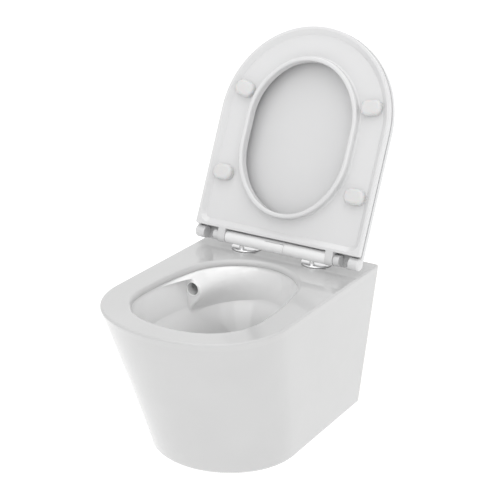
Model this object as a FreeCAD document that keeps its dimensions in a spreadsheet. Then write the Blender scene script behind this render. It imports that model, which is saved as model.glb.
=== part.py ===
import FreeCAD, Part
import Sketcher
import math
import os
import re
from FreeCAD import Placement, Rotation, Vector

# A wall hung toilet: a rimless china pan with a concealed wall fixing, and a
# seat and a lid that share one soft-close hinge bar.  Millimetres.
# Frame: +Z up, -Y to the user, the wall is the plane y = 0, and the origin is
# midway between the two wall studs.  The seat and the lid stand open.

doc = FreeCAD.newDocument("wall_hung_toilet")
sheet = doc.addObject("Spreadsheet::Sheet", "sizes")
sheet_row = 1
nodes = []


def size(alias, value):
    """Put one driving dimension on the sheet and return it."""
    global sheet_row
    sheet.set("A%d" % sheet_row, alias)
    sheet.set("B%d" % sheet_row, str(value))
    sheet.setAlias("B%d" % sheet_row, alias)
    sheet_row += 1
    return value


# ---------------------------------------------------------------- pan sizes
pan_width = size("pan_width", 360)
pan_length = size("pan_length", 490)
pan_depth = size("pan_depth", 300)
deck_height = size("deck_height", 80)
nose_reach = size("nose_reach", 150)
shoulder_radius = size("shoulder_radius", 140)
foot_width = size("foot_width", 292)
foot_length = size("foot_length", 385)
foot_nose_flat = size("foot_nose_flat", 8)
foot_nose_ease = size("foot_nose_ease", 6)
foot_nose_reach = foot_width / 2.0 - foot_nose_flat
foot_shoulder_radius = foot_nose_reach - foot_nose_ease
skirt_wall = size("skirt_wall", 10)
deck_wall = size("deck_wall", 14)
floor_wall = size("floor_wall", 12)
deck_edge_round = size("deck_edge_round", 4)
foot_edge_round = size("foot_edge_round", 8)

# The bowl: an egg on the deck, a rounded rim, an upright flushed wall and a
# basin that falls to the sump.
rim_width = size("rim_width", 46)
rim_front_width = size("rim_front_width", 43)
bowl_back = size("bowl_back", 97)
bowl_nose_reach = size("bowl_nose_reach", 115)
bowl_nose_shoulder = size("bowl_nose_shoulder", 112)
bowl_tail_reach = size("bowl_tail_reach", 218)
bowl_tail_shoulder = size("bowl_tail_shoulder", 500)
bowl_wall = size("bowl_wall", 10)
rim_round = size("rim_round", 9)
rim_drop = size("rim_drop", 10)
rim_undercut = size("rim_undercut", 3)
flush_wall_depth = size("flush_wall_depth", 75)
flush_wall_lean = size("flush_wall_lean", 6)
rim_clearance = size("rim_clearance", 0.5)
sump_floor = size("sump_floor", 2)
sump_depth = size("sump_depth", 225)
sump_back = size("sump_back", 215)

# The water way: flush inlet, jet and trap.
inlet_radius = size("inlet_radius", 27.5)
inlet_above_studs = size("inlet_above_studs", 35)
inlet_recess = size("inlet_recess", 18)
inlet_length = size("inlet_length", 42)
inlet_wall = size("inlet_wall", 9)
jet_radius = size("jet_radius", 12)
jet_wall = size("jet_wall", 7)
jet_side = size("jet_side", 99.5)
jet_mouth = size("jet_mouth", 210)
jet_below_deck = size("jet_below_deck", 36)
jet_bend = size("jet_bend", 25)
jet_straight = size("jet_straight", 16)
jet_turn_back = size("jet_turn_back", 62)
jet_bow = size("jet_bow", 16)
jet_rear = size("jet_rear", 115)
jet_rear_side = size("jet_rear_side", 70)
brow_front = size("brow_front", 285)
brow_lead = size("brow_lead", 245)
brow_depth = size("brow_depth", 16)
brow_waist_depth = size("brow_waist_depth", 60)
brow_foot_depth = size("brow_foot_depth", 88)
brow_reach = size("brow_reach", 16)
brow_waist_reach = size("brow_waist_reach", 22)
brow_foot_reach = size("brow_foot_reach", 7)
brow_edge_round = size("brow_edge_round", 4)
jet_skin = size("jet_skin", 4)
jet_collar = size("jet_collar", 1.5)
brow_hidden = size("brow_hidden", 1)
brow_lead_share = size("brow_lead_share", 0.4)
trap_radius = size("trap_radius", 27)
trap_wall = size("trap_wall", 9)
trap_bend = size("trap_bend", 38)
trap_start = size("trap_start", 15)
trap_run = size("trap_run", 32)
trap_crest = size("trap_crest", 54)
trap_crest_from_wall = size("trap_crest_from_wall", 122)
trap_foot_from_wall = size("trap_foot_from_wall", 78)
outlet_below_studs = size("outlet_below_studs", 100)
outlet_radius = size("outlet_radius", 51)
outlet_wall = size("outlet_wall", 6)
outlet_length = size("outlet_length", 45)
outlet_recess = size("outlet_recess", 8)

# The wall fixing: two studs, a rib of the pan on each, and a sleeve and a
# washer on each stud.
stud_spacing = size("stud_spacing", 180)
stud_hole = size("stud_hole", 11)
rib_recess = size("rib_recess", 22)
rib_wall = size("rib_wall", 14)
rib_width = size("rib_width", 95)
rib_offset = size("rib_offset", 5)
rib_foot = size("rib_foot", 55)
access_half = size("access_half", 90)
access_front = size("access_front", 100)
access_back = size("access_back", 20)
sleeve_bore = size("sleeve_bore", 6.5)
sleeve_clearance = size("sleeve_clearance", 0.3)
sleeve_flange = size("sleeve_flange", 17)
sleeve_flange_thick = size("sleeve_flange_thick", 3)
washer_radius = size("washer_radius", 15)
washer_thick = size("washer_thick", 2.5)
sleeve_wall_gap = size("sleeve_wall_gap", 1)

# ------------------------------------------------------- seat and lid sizes
hinge_from_wall = size("hinge_from_wall", 72)
hinge_above_deck = size("hinge_above_deck", 22.8)
open_angle = size("open_angle", 115)
seat_inset = size("seat_inset", 1)
seat_width = pan_width - 2 * seat_inset
seat_overhang = size("seat_overhang", 7)
seat_reach = pan_length - hinge_from_wall + seat_overhang
seat_rear = size("seat_rear", 13.1)
seat_rear_corner = size("seat_rear_corner", 4)
seat_below_axis = size("seat_below_axis", 15.8)
seat_thick = size("seat_thick", 11.5)
seat_edge_round = size("seat_edge_round", 1.6)
seat_rim_land = size("seat_rim_land", 5.5)
seat_tray_depth = size("seat_tray_depth", 7)
seat_tray_slope = size("seat_tray_slope", 9.5)
seat_tray_corner = size("seat_tray_corner", 22)
seat_band = size("seat_band", 71)
seat_front_band = size("seat_front_band", 68.5)
seat_hole_back = size("seat_hole_back", 62.5)
seat_hole_nose = size("seat_hole_nose", 9.5)
seat_hole_nose_shoulder = size("seat_hole_nose_shoulder", 14)
seat_hole_tail = size("seat_hole_tail", 14.5)
seat_hole_tail_shoulder = size("seat_hole_tail_shoulder", 23)
seat_hole_round = size("seat_hole_round", 3)
seat_lip_width = size("seat_lip_width", 9)
seat_lip_drop = size("seat_lip_drop", 8.5)
seat_lip_round = size("seat_lip_round", 3.5)
seat_lip_foot_round = size("seat_lip_foot_round", 4)
buffer_length = size("buffer_length", 30)
buffer_width = size("buffer_width", 41)
buffer_corner = size("buffer_corner", 14)
buffer_round = size("buffer_round", 6)
buffer_gap = size("buffer_gap", 0.3)
buffer_front = size("buffer_front", 287)
buffer_front_inset = size("buffer_front_inset", 42.2)
buffer_rear = size("buffer_rear", 120)
buffer_rear_inset = size("buffer_rear_inset", 35.9)
buffer_turn = size("buffer_turn", 12.5)

lid_overhang = size("lid_overhang", 0.5)
lid_width = seat_width + 2 * lid_overhang
lid_reach = seat_reach + 2 * lid_overhang
lid_wall = size("lid_wall", 4)
lid_skirt = size("lid_skirt", 5.5)
lid_seat_gap = size("lid_seat_gap", 2)
lid_edge_round = size("lid_edge_round", 12)
lid_inner_round = size("lid_inner_round", 8)
trough_wall = size("trough_wall", 3.2)
trough_lip_angle = size("trough_lip_angle", 50)
knuckle_radius = size("knuckle_radius", 12)
knuckle_length = size("knuckle_length", 21.5)
knuckle_round = size("knuckle_round", 5)
lid_stop_inset = size("lid_stop_inset", 29)
lid_stop_reach = size("lid_stop_reach", 230)
lid_stop_radius = size("lid_stop_radius", 7)
lid_stop_stem = size("lid_stop_stem", 2.5)
lid_stop_stem_length = size("lid_stop_stem_length", 5)
lid_buffer_inset = size("lid_buffer_inset", 1)
lid_tail = size("lid_tail", 20)
lid_web_half = size("lid_web_half", 8.5)
lid_web_foot = size("lid_web_foot", 3)

# ------------------------------------------------------- hinge bar sizes
bar_radius = size("bar_radius", 12.25)
bar_half = size("bar_half", 109.5)
seat_lug_radius = size("seat_lug_radius", 12.9)
seat_lug_width = size("seat_lug_width", 15.4)
lid_lug_radius = size("lid_lug_radius", 10.6)
lid_lug_width = size("lid_lug_width", 11.6)
lug_gap = size("lug_gap", 0.6)
lug_end_wall = size("lug_end_wall", 1)
sweep_clearance = size("sweep_clearance", 0.7)
damper_radius = size("damper_radius", 5.2)
damper_length = size("damper_length", 60)
damper_clearance = size("damper_clearance", 0.2)
damper_end_gap = size("damper_end_gap", 1)
shaft_radius = size("shaft_radius", 3.5)
shaft_clearance = size("shaft_clearance", 0.05)
shaft_flat = size("shaft_flat", 2.5)
shaft_inset = size("shaft_inset", 14)
bush_wall = size("bush_wall", 1.5)

# The posts that stand on the deck, and what holds them down.
post_side = size("post_side", 77.5)
plate_from_wall = size("plate_from_wall", 53)
plate_radius = size("plate_radius", 30)
plate_thick = size("plate_thick", 3)
plate_round = size("plate_round", 1.2)
gasket_radius = size("gasket_radius", 28)
gasket_thick = size("gasket_thick", 1)
post_radius = size("post_radius", 5)
post_neck = size("post_neck", 3)
post_stem = size("post_stem", 3)
post_head_thick = size("post_head_thick", 1.2)
socket_clearance = size("socket_clearance", 0.4)
latch_thick = size("latch_thick", 2.6)
latch_width = size("latch_width", 7.2)
latch_clearance = size("latch_clearance", 0.3)
latch_above_bar_foot = size("latch_above_bar_foot", 1.5)
latch_grip = size("latch_grip", 1.6)
latch_travel = size("latch_travel", 2.5)
latch_inner_end = size("latch_inner_end", 4)
button_half = size("button_half", 20.5)
button_travel = size("button_travel", 3)
button_gap = size("button_gap", 0.35)
button_proud = size("button_proud", 0.5)
button_face_back = size("button_face_back", 8)
button_foot = size("button_foot", 7)
button_head = size("button_head", 10)
tongue_half = size("tongue_half", 15)
tongue_thick = size("tongue_thick", 1.8)
spring_seat_radius = size("spring_seat_radius", 3.2)
spring_reach = size("spring_reach", 3)
spring_above_axis = size("spring_above_axis", 1)
cam_pin_radius = size("cam_pin_radius", 1.2)
cam_pin_side = size("cam_pin_side", 12)
cam_slot_widening = size("cam_slot_widening", 1.3)
spring_wire = size("spring_wire", 0.7)
spring_turns = size("spring_turns", 5)
spring_clearance = size("spring_clearance", 0.2)

bolt_radius = size("bolt_radius", 3.9)
bolt_head_radius = size("bolt_head_radius", 7)
bolt_head_thick = size("bolt_head_thick", 1.8)
bolt_length = size("bolt_length", 62)
deck_hole = size("deck_hole", 8.3)
plug_clearance = size("plug_clearance", 0.3)
plug_flare = size("plug_flare", 12)
plug_flare_length = size("plug_flare_length", 30)
plug_nut_radius = size("plug_nut_radius", 9)
plug_nut_thick = size("plug_nut_thick", 9)

# Heights and places that several pieces share.
deck = deck_height
foot = deck - pan_depth
hinge_y = -hinge_from_wall
hinge_z = deck + hinge_above_deck
overlap = 2.0
cut_over = size("cut_over", 1)
weld = size("weld", 0.2)
TOUCH = 0.01
UPRIGHT = 0.9
doc.recompute()


# ------------------------------------------------------------ shared helpers
def node(name, shape_or_object, place=None):
    """Register one sub-part under the name that its file takes."""
    if hasattr(shape_or_object, "TypeId") and hasattr(shape_or_object, "Label"):
        part = shape_or_object
    else:
        part = doc.addObject("Part::Feature", name)
        part.Shape = shape_or_object
    part.Label = name
    if place is not None:
        part.Placement = place.multiply(part.Placement)
    nodes.append(part)
    return part


def tangent_reach(half, reach, shoulder):
    """Radius of the nose arc that closes a half outline tangent to its shoulders."""
    return (half * half + reach * reach - 2 * half * shoulder) / (2 * (reach - shoulder))


def nose_arcs(half, start, reach, shoulder, side, z):
    """Shoulder, nose and shoulder arcs from (half, start) round to (-half, start).

    side is -1 where the nose points to -Y and +1 where it points to the wall.
    """
    nose = tangent_reach(half, reach, shoulder)
    nose_centre = Vector(0, start + side * (reach - nose), z)
    centre = Vector(half - shoulder, start, z)
    joint_way = (centre - nose_centre) if nose > shoulder else (nose_centre - centre)
    joint = centre + joint_way.normalize() * shoulder
    middle_way = Vector(half, start, z) - centre + (joint - centre)
    middle = centre + middle_way.normalize() * shoulder
    tip = Vector(0, start + side * reach, z)

    def mirrored(point):
        return Vector(-point.x, point.y, point.z)

    return [
        Part.Arc(Vector(half, start, z), middle, joint).toShape(),
        Part.Arc(joint, tip, mirrored(joint)).toShape(),
        Part.Arc(mirrored(joint), mirrored(middle), Vector(-half, start, z)).toShape(),
    ]


def line(a, b):
    return Part.LineSegment(a, b).toShape()


def pan_outline(width, length, reach, shoulder, inset, z, rear=0.0):
    """The D of the pan at one height: flat on the wall, round at the front."""
    half = width / 2.0 - inset
    start = -(length - reach)
    arcs = nose_arcs(half, start, reach - inset, shoulder - inset, -1, z)
    edges = [line(Vector(half, rear, z), Vector(half, start, z))] + arcs
    edges.append(line(Vector(-half, start, z), Vector(-half, rear, z)))
    edges.append(line(Vector(-half, rear, z), Vector(half, rear, z)))
    return Part.Wire(edges)


def egg(half, front, nose, nose_shoulder, back, tail, tail_shoulder, z):
    """The outline of a bowl or of a seat's hole, as tangent arcs and two short lines."""
    nose_start = -(front - nose)
    tail_start = -(back + tail)
    front_arcs = nose_arcs(half, nose_start, nose, nose_shoulder, -1, z)
    back_arcs = nose_arcs(half, tail_start, tail, tail_shoulder, 1, z)
    edges = [line(Vector(half, tail_start, z), Vector(half, nose_start, z))] + front_arcs
    edges.append(line(Vector(-half, nose_start, z), Vector(-half, tail_start, z)))
    edges += back_arcs
    return Part.Wire(Part.__sortEdges__(edges))


def prism(wire, height):
    return Part.Face(wire).extrude(Vector(0, 0, height))


def loft(wires, ruled=True):
    return Part.makeLoft(wires, True, ruled)


def box(x0, x1, y0, y1, z0, z1):
    return Part.makeBox(x1 - x0, y1 - y0, z1 - z0, Vector(x0, y0, z0))


def bar_along_x(radius, x0, x1, y=0.0, z=0.0):
    return Part.makeCylinder(radius, x1 - x0, Vector(x0, y, z), Vector(1, 0, 0))


def bent_path(points, radius):
    """Straight runs joined by tangent arcs of one radius."""
    edges = []
    start = points[0]
    for before, corner, after in zip(points, points[1:], points[2:]):
        a = (before - corner).normalize()
        b = (after - corner).normalize()
        half_turn = (math.pi - a.getAngle(b)) / 2.0
        reach = radius * math.tan(half_turn)
        first, last = corner + a * reach, corner + b * reach
        bisector = (a + b).normalize()
        middle = corner + bisector * (radius / math.cos(half_turn) - radius)
        edges.append(line(start, first))
        edges.append(Part.Arc(first, middle, last).toShape())
        start = last
    edges.append(line(start, points[-1]))
    return Part.Wire(edges)


def pipe(points, bend, radius):
    """A round solid of one radius along a bent path."""
    path = bent_path(points, bend)
    way = (points[1] - points[0]).normalize()
    ring = Part.Wire(Part.makeCircle(radius, points[0], way))
    return path.makePipeShell([ring], True, True)


def edges_at(shape, test):
    """The edges whose middle passes a test."""
    found = []
    for edge in shape.Edges:
        middle = edge.valueAt((edge.FirstParameter + edge.LastParameter) / 2.0)
        if test(middle):
            found.append(edge)
    return found


# ------------------------------------------------------------------- the pan
def bowl_outline(inset, z):
    """The bowl's outline on the deck, moved inwards by inset."""
    return egg(
        pan_width / 2.0 - rim_width - inset,
        pan_length - rim_front_width - inset,
        bowl_nose_reach - inset,
        bowl_nose_shoulder - inset,
        bowl_back + inset,
        bowl_tail_reach - inset,
        bowl_tail_shoulder - inset,
        z,
    )


def basin_outline(share, grow, z):
    """The basin shrinks towards the sump, which lies near the back."""
    inset = rim_round - rim_undercut + flush_wall_lean
    half = pan_width / 2.0 - rim_width - inset
    front = pan_length - rim_front_width - inset
    back = bowl_back + inset
    return egg(
        half * share + grow,
        sump_back + (front - sump_back) * share + grow,
        (bowl_nose_reach - inset) * share + grow,
        (bowl_nose_shoulder - inset) * share + grow,
        sump_back - (sump_back - back) * share - grow,
        (bowl_tail_reach - inset) * share + grow,
        (bowl_tail_shoulder - inset) * share + grow,
        z,
    )


# How much of its width the basin still has at each share of its fall.
BASIN_FALL = [(1.0, 0.0), (0.985, 0.035), (0.95, 0.085), (0.87, 0.18), (0.62, 0.52), (0.4, 0.84),
              (0.3, 1.0)]


def basin(grow):
    """The falling part of the bowl; grow is its wall where the outside is wanted."""
    top = deck - flush_wall_depth
    bottom = deck - sump_depth - grow
    wires = [basin_outline(share, grow, top + (bottom - top) * fall) for share, fall in BASIN_FALL]
    return loft(wires, False)


def rounded_pan():
    """The pan's outer form, solid: deck and foot edges rounded, its back cut flat at the wall."""
    top = pan_outline(pan_width, pan_length, nose_reach, shoulder_radius, 0, deck, overlap)
    base = pan_outline(foot_width, foot_length, foot_nose_reach, foot_shoulder_radius, 0, foot,
                       overlap)
    form = loft([base, top])
    deck_edges = edges_at(form, lambda p: abs(p.z - deck) < TOUCH and p.y < -TOUCH)
    form = form.makeFillet(deck_edge_round, deck_edges)
    foot_edges = edges_at(form, lambda p: abs(p.z - foot) < TOUCH and p.y < -TOUCH)
    form = form.makeFillet(foot_edge_round, foot_edges)
    return form.cut(box(-pan_width, pan_width, 0, 2 * overlap, foot - overlap, deck + overlap))


def skirt_cavity():
    """The open space behind the skirt, which the wall closes."""
    span = float(pan_depth)

    def at(z, inset):
        share = (z - foot) / span
        return pan_outline(
            foot_width + (pan_width - foot_width) * share,
            foot_length + (pan_length - foot_length) * share,
            foot_nose_reach + (nose_reach - foot_nose_reach) * share,
            foot_shoulder_radius + (shoulder_radius - foot_shoulder_radius) * share,
            inset,
            z,
            overlap,
        )

    return loft([at(foot + floor_wall, skirt_wall), at(deck - deck_wall, skirt_wall)])


def bowl_side(inset, y):
    """Half width of the bowl's rear part at one y, moved inwards by inset."""
    half = pan_width / 2.0 - rim_width - inset
    turn = bowl_tail_shoulder - inset
    along = y + bowl_back + bowl_tail_reach
    return half - turn + math.sqrt(turn * turn - along * along)


def bowl_rear(inset, degrees):
    """A point of the bowl's rear arc, by its angle from the left side round the back."""
    half = pan_width / 2.0 - rim_width
    turn = tangent_reach(half, bowl_tail_reach, bowl_tail_shoulder)
    angle = math.radians(degrees)
    return Vector(-(turn - inset) * math.cos(angle),
                  -bowl_back - turn + (turn - inset) * math.sin(angle), 0)


# How much of its reach the brow keeps at each angle round the back of the bowl.
BROW_FADE = [(22, 0.86), (38, 0.66), (55, 0.43), (72, 0.24), (90, 0.1), (108, 0.03), (125, 0.0)]


def brow_outline(below_deck, reach):
    """The brow at one depth, which stands proud of the wall by its reach at the jet."""
    depth = Vector(0, 0, deck - below_deck)
    lean_share = min((below_deck - rim_drop) / float(flush_wall_depth - rim_drop), 1.0)
    inset = rim_round - rim_undercut + flush_wall_lean * lean_share - brow_hidden
    front = Vector(-bowl_side(inset, -brow_front), -brow_front, 0) + depth
    lead = Vector(-bowl_side(inset, -brow_lead) + reach * brow_lead_share, -brow_lead, 0) + depth
    mouth = Vector(-bowl_side(inset, -jet_mouth) + reach, -jet_mouth, 0) + depth
    points = [mouth]
    for degrees, share in BROW_FADE:
        points.append(bowl_rear(inset + reach * share, degrees) + depth)
    end = points[-1]
    past_end = bowl_rear(inset, BROW_FADE[-1][0] + 1) + depth
    outside = bowl_side(-bowl_wall / 2.0, -brow_front)
    corners = [end, Vector(end.x, 0, end.z), Vector(-outside, 0, end.z),
               Vector(-outside, -brow_front, end.z), front]
    edges = [line(a, b) for a, b in zip(corners, corners[1:])]
    edges.append(Part.Arc(front, lead, mouth).toShape())
    sweep = Part.BSplineCurve()
    sweep.interpolate(Points=points, InitialTangent=points[1] - mouth, FinalTangent=past_end - end)
    edges.append(sweep.toShape())
    return Part.Wire(edges)


def flush_brow():
    """The proud part of the wall that the jet comes out of, blended into the bowl."""
    wall = rim_round - rim_undercut
    swell = bowl_side(wall, -jet_mouth) - jet_side + jet_radius + jet_skin
    brow = loft([
        brow_outline(rim_drop, 0.0),
        brow_outline(brow_depth, brow_reach),
        brow_outline(jet_below_deck, swell),
        brow_outline(brow_waist_depth, brow_waist_reach),
        brow_outline(brow_foot_depth, brow_foot_reach),
    ], False)
    channel = box(-pan_width / 2.0, 0, -pan_length, -jet_mouth,
                  deck - brow_foot_depth - overlap, deck - brow_depth)
    brow = brow.cut(channel)
    step_edges = edges_at(brow, lambda p: abs(p.y + jet_mouth) < TOUCH and p.x > -jet_side
                          and abs(p.z - deck + jet_below_deck) < 2 * jet_radius)
    brow = brow.makeFillet(brow_edge_round, step_edges)
    return brow.common(bowl_form())


def jet_ring():
    """The rounded collar round the jet's mouth."""
    mouth = Vector(-jet_side, -jet_mouth, deck - jet_below_deck)
    return Part.makeTorus(jet_radius + jet_collar, jet_collar, mouth, Vector(0, 1, 0))


def jet_points():
    """The way from the flush inlet round the back of the bowl to the jet."""
    z = deck - jet_below_deck
    return [
        Vector(-jet_side, -jet_mouth - overlap, z),
        Vector(-jet_side, -jet_mouth + jet_straight, z),
        Vector(-jet_side - jet_bow, -jet_mouth + jet_turn_back, z),
        Vector(-jet_rear_side, -jet_mouth + jet_rear, z),
        Vector(0, -inlet_recess - inlet_length, z),
    ]


def trap_points():
    """The trap: from the sump, up over the weir and down to the outlet."""
    outlet = -outlet_below_studs
    sump = deck - sump_depth + trap_radius + sump_floor
    return [
        Vector(0, -sump_back - trap_start, sump),
        Vector(0, -sump_back + trap_run, sump),
        Vector(0, -trap_crest_from_wall, outlet + trap_crest),
        Vector(0, -trap_foot_from_wall, outlet),
        Vector(0, -outlet_recess - outlet_length + overlap, outlet),
    ]


def bore_along_y(radius, length, x, y, z):
    return Part.makeCylinder(radius, length, Vector(x, y, z), Vector(0, 1, 0))


def bowl_form():
    """The outside of the bowl below its rim, filled."""
    low = deck - flush_wall_depth
    wall = rim_round - rim_undercut
    upper = loft([bowl_outline(wall + flush_wall_lean - bowl_wall, low - bowl_wall),
                  bowl_outline(wall - bowl_wall, deck - rim_drop)])
    return upper.fuse(basin(bowl_wall))


def trap_form():
    """The outside of the trap and of its outlet spigot, filled."""
    spigot = bore_along_y(outlet_radius, outlet_length,
                          0, -outlet_recess - outlet_length, -outlet_below_studs)
    return pipe(trap_points(), trap_bend, trap_radius + trap_wall).fuse(spigot)


def flush_form():
    """The outside of the flush way and of its inlet, filled."""
    back_wall = 2 * inlet_wall
    inlet = bore_along_y(inlet_radius + inlet_wall, inlet_length + back_wall,
                         0, -inlet_recess - inlet_length - back_wall, inlet_above_studs)
    return pipe(jet_points(), jet_bend, jet_radius + jet_wall).fuse(inlet)


def rib_form(way):
    """The rib that one wall stud passes through, up to the underside of the deck."""
    centre = way * (stud_spacing / 2.0 + rib_offset)
    return box(centre - rib_width / 2.0, centre + rib_width / 2.0,
               -rib_recess - rib_wall, -rib_recess, -rib_foot, deck - deck_wall)


def shell_forms(outer):
    """The rim's ring and the two ribs on the wall studs."""
    wall = rim_round - rim_undercut
    ring = prism(bowl_outline(wall - bowl_wall, deck - rim_drop), rim_drop - overlap)
    return [ring, rib_form(-1).common(outer), rib_form(1).common(outer)]


def water_ways():
    """The hollows of trap, jet, outlet and inlet, and the holes for studs and hinge bolts."""
    outlet_y = -outlet_length
    ways = [
        pipe(trap_points(), trap_bend, trap_radius),
        pipe(jet_points(), jet_bend, jet_radius),
        bore_along_y(outlet_radius - outlet_wall, outlet_length - outlet_recess,
                     0, outlet_y, -outlet_below_studs),
        bore_along_y(inlet_radius, inlet_length, 0, -inlet_recess - inlet_length, inlet_above_studs),
    ]
    for way in (-1, 1):
        ways.append(bore_along_y(stud_hole, rib_wall + 2 * overlap, way * stud_spacing / 2.0,
                                 -rib_recess - rib_wall - overlap, 0))
        ways.append(Part.makeCylinder(deck_hole, deck_wall + 2 * overlap,
                                      Vector(way * post_side, -plate_from_wall,
                                             deck - deck_wall - overlap)))
    return ways


def make_casting():
    """The whole china casting, and the three forms that it is parted along."""
    outer = rounded_pan()
    access = box(-access_half, access_half, -access_front, -access_back,
                 foot - overlap, foot + floor_wall + overlap)
    bowl, trap, flush = bowl_form(), trap_form(), flush_form()
    solid = outer.cut(skirt_cavity()).cut(access)
    solid = solid.fuse(shell_forms(outer) + [bowl, trap, flush])

    # The bowl: a rounded mouth, the flushed wall under it, and the basin.
    low = deck - flush_wall_depth
    wall = rim_round - rim_undercut
    mouth = prism(bowl_outline(rim_round, deck - rim_drop), rim_drop + overlap)
    flushed = loft([bowl_outline(wall + flush_wall_lean, low), bowl_outline(wall, deck - rim_drop)])
    solid = solid.cut(basin(0)).cut(flushed).cut(mouth)
    mouth_box = prism(bowl_outline(rim_round - overlap, deck - overlap), 2 * overlap)
    mouth_edges = edges_at(solid, lambda p: abs(p.z - deck) < TOUCH
                           and mouth_box.isInside(p, TOUCH, True))
    solid = solid.makeFillet(rim_round - rim_clearance, mouth_edges)
    solid = solid.fuse([flush_brow(), jet_ring()])
    for way in water_ways():
        solid = solid.cut(way)
    return solid, bowl, trap.cut(bowl), flush.cut(bowl).cut(trap)


casting, bowl_zone, trap_zone, flush_zone = make_casting()
shell = casting.cut(bowl_zone).cut(trap_zone).cut(flush_zone)
rim_zone = box(-pan_width, pan_width, -pan_length - overlap, overlap, deck - deck_wall, deck + overlap)
below_rim = shell.cut(rim_zone)
left_rib_zone, right_rib_zone = rib_form(-1), rib_form(1)
node("pan", below_rim.cut(left_rib_zone).cut(right_rib_zone))
node("rim", shell.common(rim_zone))
node("stud_rib_left", below_rim.common(left_rib_zone))
node("stud_rib_right", below_rim.common(right_rib_zone))
node("bowl", casting.common(bowl_zone))
node("trap", casting.common(trap_zone))
node("flush_way", casting.common(flush_zone))


# ------------------------------------------- sketches and primitives, bound to the sheet
def bound(text):
    """Point each size that an expression names at its cell on the sheet."""
    return re.sub(r"[a-z][a-z_]+", lambda word: "sizes." + word.group(0), text)


def put(part, x, y, z, turn=None):
    """Place a part by expressions, turned first where a turn is given."""
    if turn is not None:
        part.Placement = Placement(Vector(0, 0, 0), turn)
    for axis, text in (("x", x), ("y", y), ("z", z)):
        part.setExpression("Placement.Base." + axis, bound(text))
    return part


ALONG_X = Rotation(Vector(0, 1, 0), 90)
ALONG_Y = Rotation(Vector(1, 0, 0), -90)
HINGE_Y = "0 - hinge_from_wall"
HINGE_Z = "deck_height + hinge_above_deck"
PLATE_TOP = "deck_height + gasket_thick + plate_thick"


def sketch_on(body, plane, name, corners):
    """A closed polygon on one of the body's planes, each corner held by two bound sizes."""
    sketch = body.newObject("Sketcher::SketchObject", name)
    support = [feature for feature in body.Origin.OriginFeatures if feature.Role == plane][0]
    sketch.AttachmentSupport = (support, [""])
    sketch.MapMode = "FlatFace"
    count = len(corners)
    step = math.tau / count
    ring = [Vector(math.cos(step * i), math.sin(step * i), 0) for i in range(count)]
    for i in range(count):
        sketch.addGeometry(Part.LineSegment(ring[i], ring[(i + 1) % count]), False)
    for i in range(count):
        sketch.addConstraint(Sketcher.Constraint("Coincident", i, 2, (i + 1) % count, 1))
    for i, corner in enumerate(corners):
        for kind, text, axis in (("DistanceX", corner[0], -2), ("DistanceY", corner[1], -1)):
            if text == "0":
                sketch.addConstraint(Sketcher.Constraint("PointOnObject", i, 1, axis))
            else:
                index = sketch.addConstraint(Sketcher.Constraint(kind, -1, 1, i, 1, 1.0))
                sketch.setExpression("Constraints[%d]" % index, bound(text))
    return sketch


def turned(name, profile):
    """A body turned about its own Z axis from (radius, height) corners."""
    body = doc.addObject("PartDesign::Body", name)
    sketch = sketch_on(body, "XZ_Plane", name + "_profile", profile)
    turn = body.newObject("PartDesign::Revolution", name + "_turn")
    turn.Profile = sketch
    turn.ReferenceAxis = (sketch, ["V_Axis"])
    turn.Angle = 360
    return node(name, body)


def rod(name, radius, length, x, y, z, turn=None):
    part = doc.addObject("Part::Cylinder", name)
    part.setExpression("Radius", bound(radius))
    part.setExpression("Height", bound(length))
    return put(part, x, y, z, turn)


def block(name, along_x, along_y, along_z, x, y, z):
    part = doc.addObject("Part::Box", name)
    part.setExpression("Length", bound(along_x))
    part.setExpression("Width", bound(along_y))
    part.setExpression("Height", bound(along_z))
    return put(part, x, y, z)


def joined(name, parts):
    fuse = doc.addObject("Part::MultiFuse", name)
    fuse.Shapes = parts
    return fuse


def cut_from(name, base, tools):
    cut = doc.addObject("Part::Cut", name)
    cut.Base = base
    cut.Tool = joined(name + "_tools", tools) if len(tools) > 1 else tools[0]
    return cut


# ------------------------------------------------- what holds the pan to the wall studs
for side_name, way in (("left", "0 - "), ("right", "")):
    sleeve = turned("stud_sleeve_" + side_name, [
        ("sleeve_bore", "0"),
        ("sleeve_flange", "0"),
        ("sleeve_flange", "sleeve_flange_thick"),
        ("stud_hole - sleeve_clearance", "sleeve_flange_thick"),
        ("stud_hole - sleeve_clearance", "sleeve_flange_thick + rib_wall + rib_recess - sleeve_wall_gap"),
        ("sleeve_bore", "sleeve_flange_thick + rib_wall + rib_recess - sleeve_wall_gap"),
    ])
    put(sleeve, way + "stud_spacing / 2",
        "0 - rib_recess - rib_wall - sleeve_flange_thick", "0", ALONG_Y)
    washer = turned("stud_washer_" + side_name, [
        ("sleeve_bore", "0"),
        ("washer_radius", "0"),
        ("washer_radius", "washer_thick"),
        ("sleeve_bore", "washer_thick"),
    ])
    put(washer, way + "stud_spacing / 2",
        "0 - rib_recess - rib_wall - sleeve_flange_thick - washer_thick", "0", ALONG_Y)

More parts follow.
